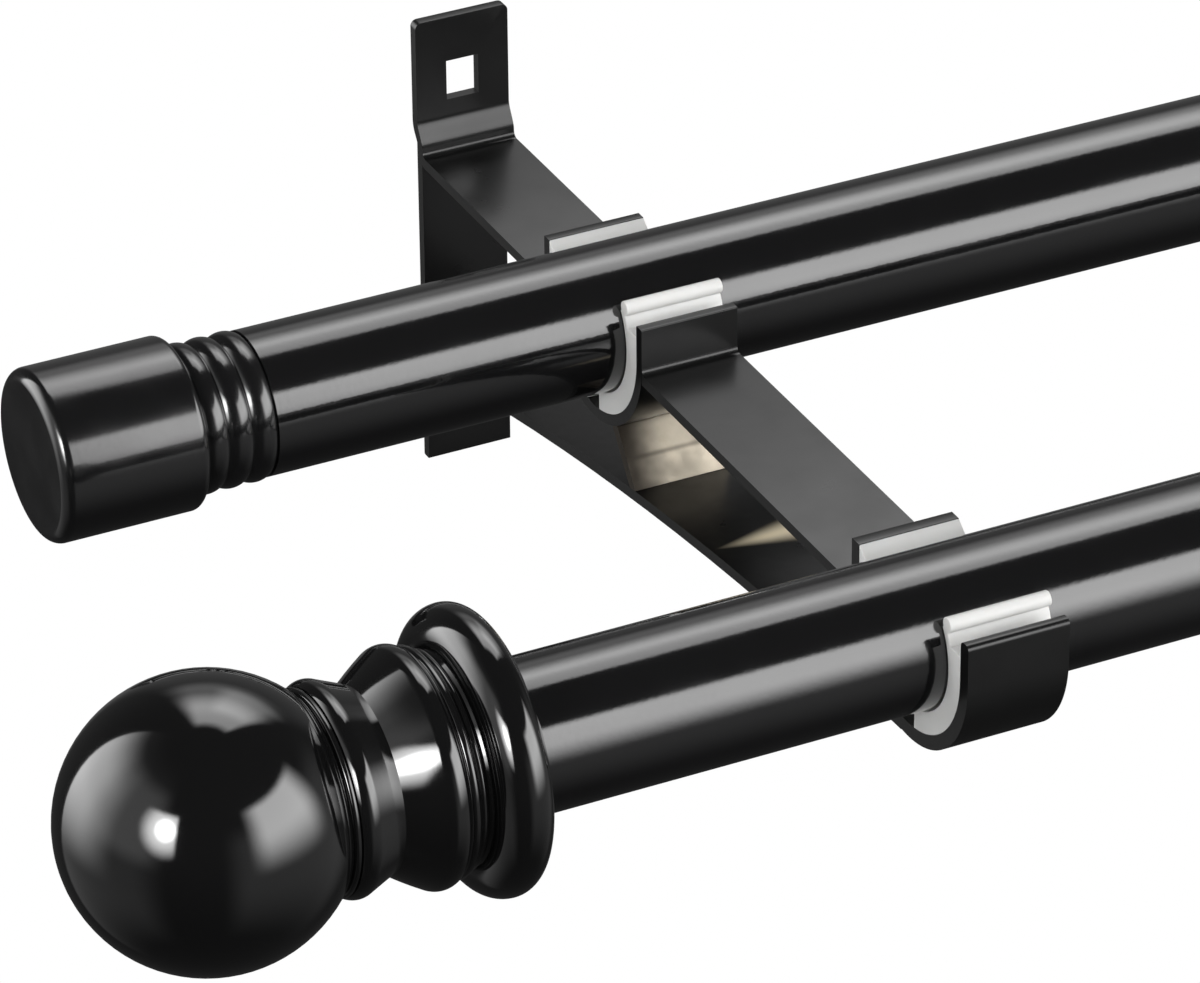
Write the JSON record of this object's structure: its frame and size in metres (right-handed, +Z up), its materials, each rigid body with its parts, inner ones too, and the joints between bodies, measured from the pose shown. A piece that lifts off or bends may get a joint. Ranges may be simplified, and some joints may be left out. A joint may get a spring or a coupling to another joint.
{
  "type": "double curtain pole",
  "caption": "Double curtain pole on bent strap wall brackets with lined cups: ball finials on the front pole, beaded round caps on the back pole.",
  "frame": {"origin": "on the wall plane, in the middle of the left bracket, at the height of the poles' axes", "axes": "+X along the poles to the right, +Y into the wall, +Z up"},
  "size_m": [1.0446, 0.2109, 0.0897],
  "materials": {
    "black_paint": "gloss black",
    "pole_paint": "gloss black",
    "finial_gloss": "high gloss black",
    "cap_gloss": "gloss black",
    "bare_steel": "plated, dull",
    "soft_liner": "soft white, matt",
    "stud_steel": "plain steel",
    "plug_plastic": "moulded, matt"
  },
  "bodies": {
    "root": {"back_tube": "pole_paint", "front_tube": "pole_paint", "left_back_cup": "black_paint", "left_back_liner": "soft_liner", "left_brace": "black_paint", "left_end_cap": "cap_gloss", "left_finial": "finial_gloss", "left_finial_plug": "plug_plastic", "left_finial_stud": "stud_steel", "left_front_cup": "black_paint", "left_front_liner": "soft_liner", "left_middle_arm": "black_paint", "left_rear_arm": "black_paint", "left_strut": "bare_steel", "left_wall_plate": "black_paint", "right_back_cup": "black_paint", "right_back_liner": "soft_liner", "right_brace": "black_paint", "right_end_cap": "cap_gloss", "right_finial": "finial_gloss", "right_finial_plug": "plug_plastic", "right_finial_stud": "stud_steel", "right_front_cup": "black_paint", "right_front_liner": "soft_liner", "right_middle_arm": "black_paint", "right_rear_arm": "black_paint", "right_strut": "bare_steel", "right_wall_plate": "black_paint"}
  },
  "joints": []
}
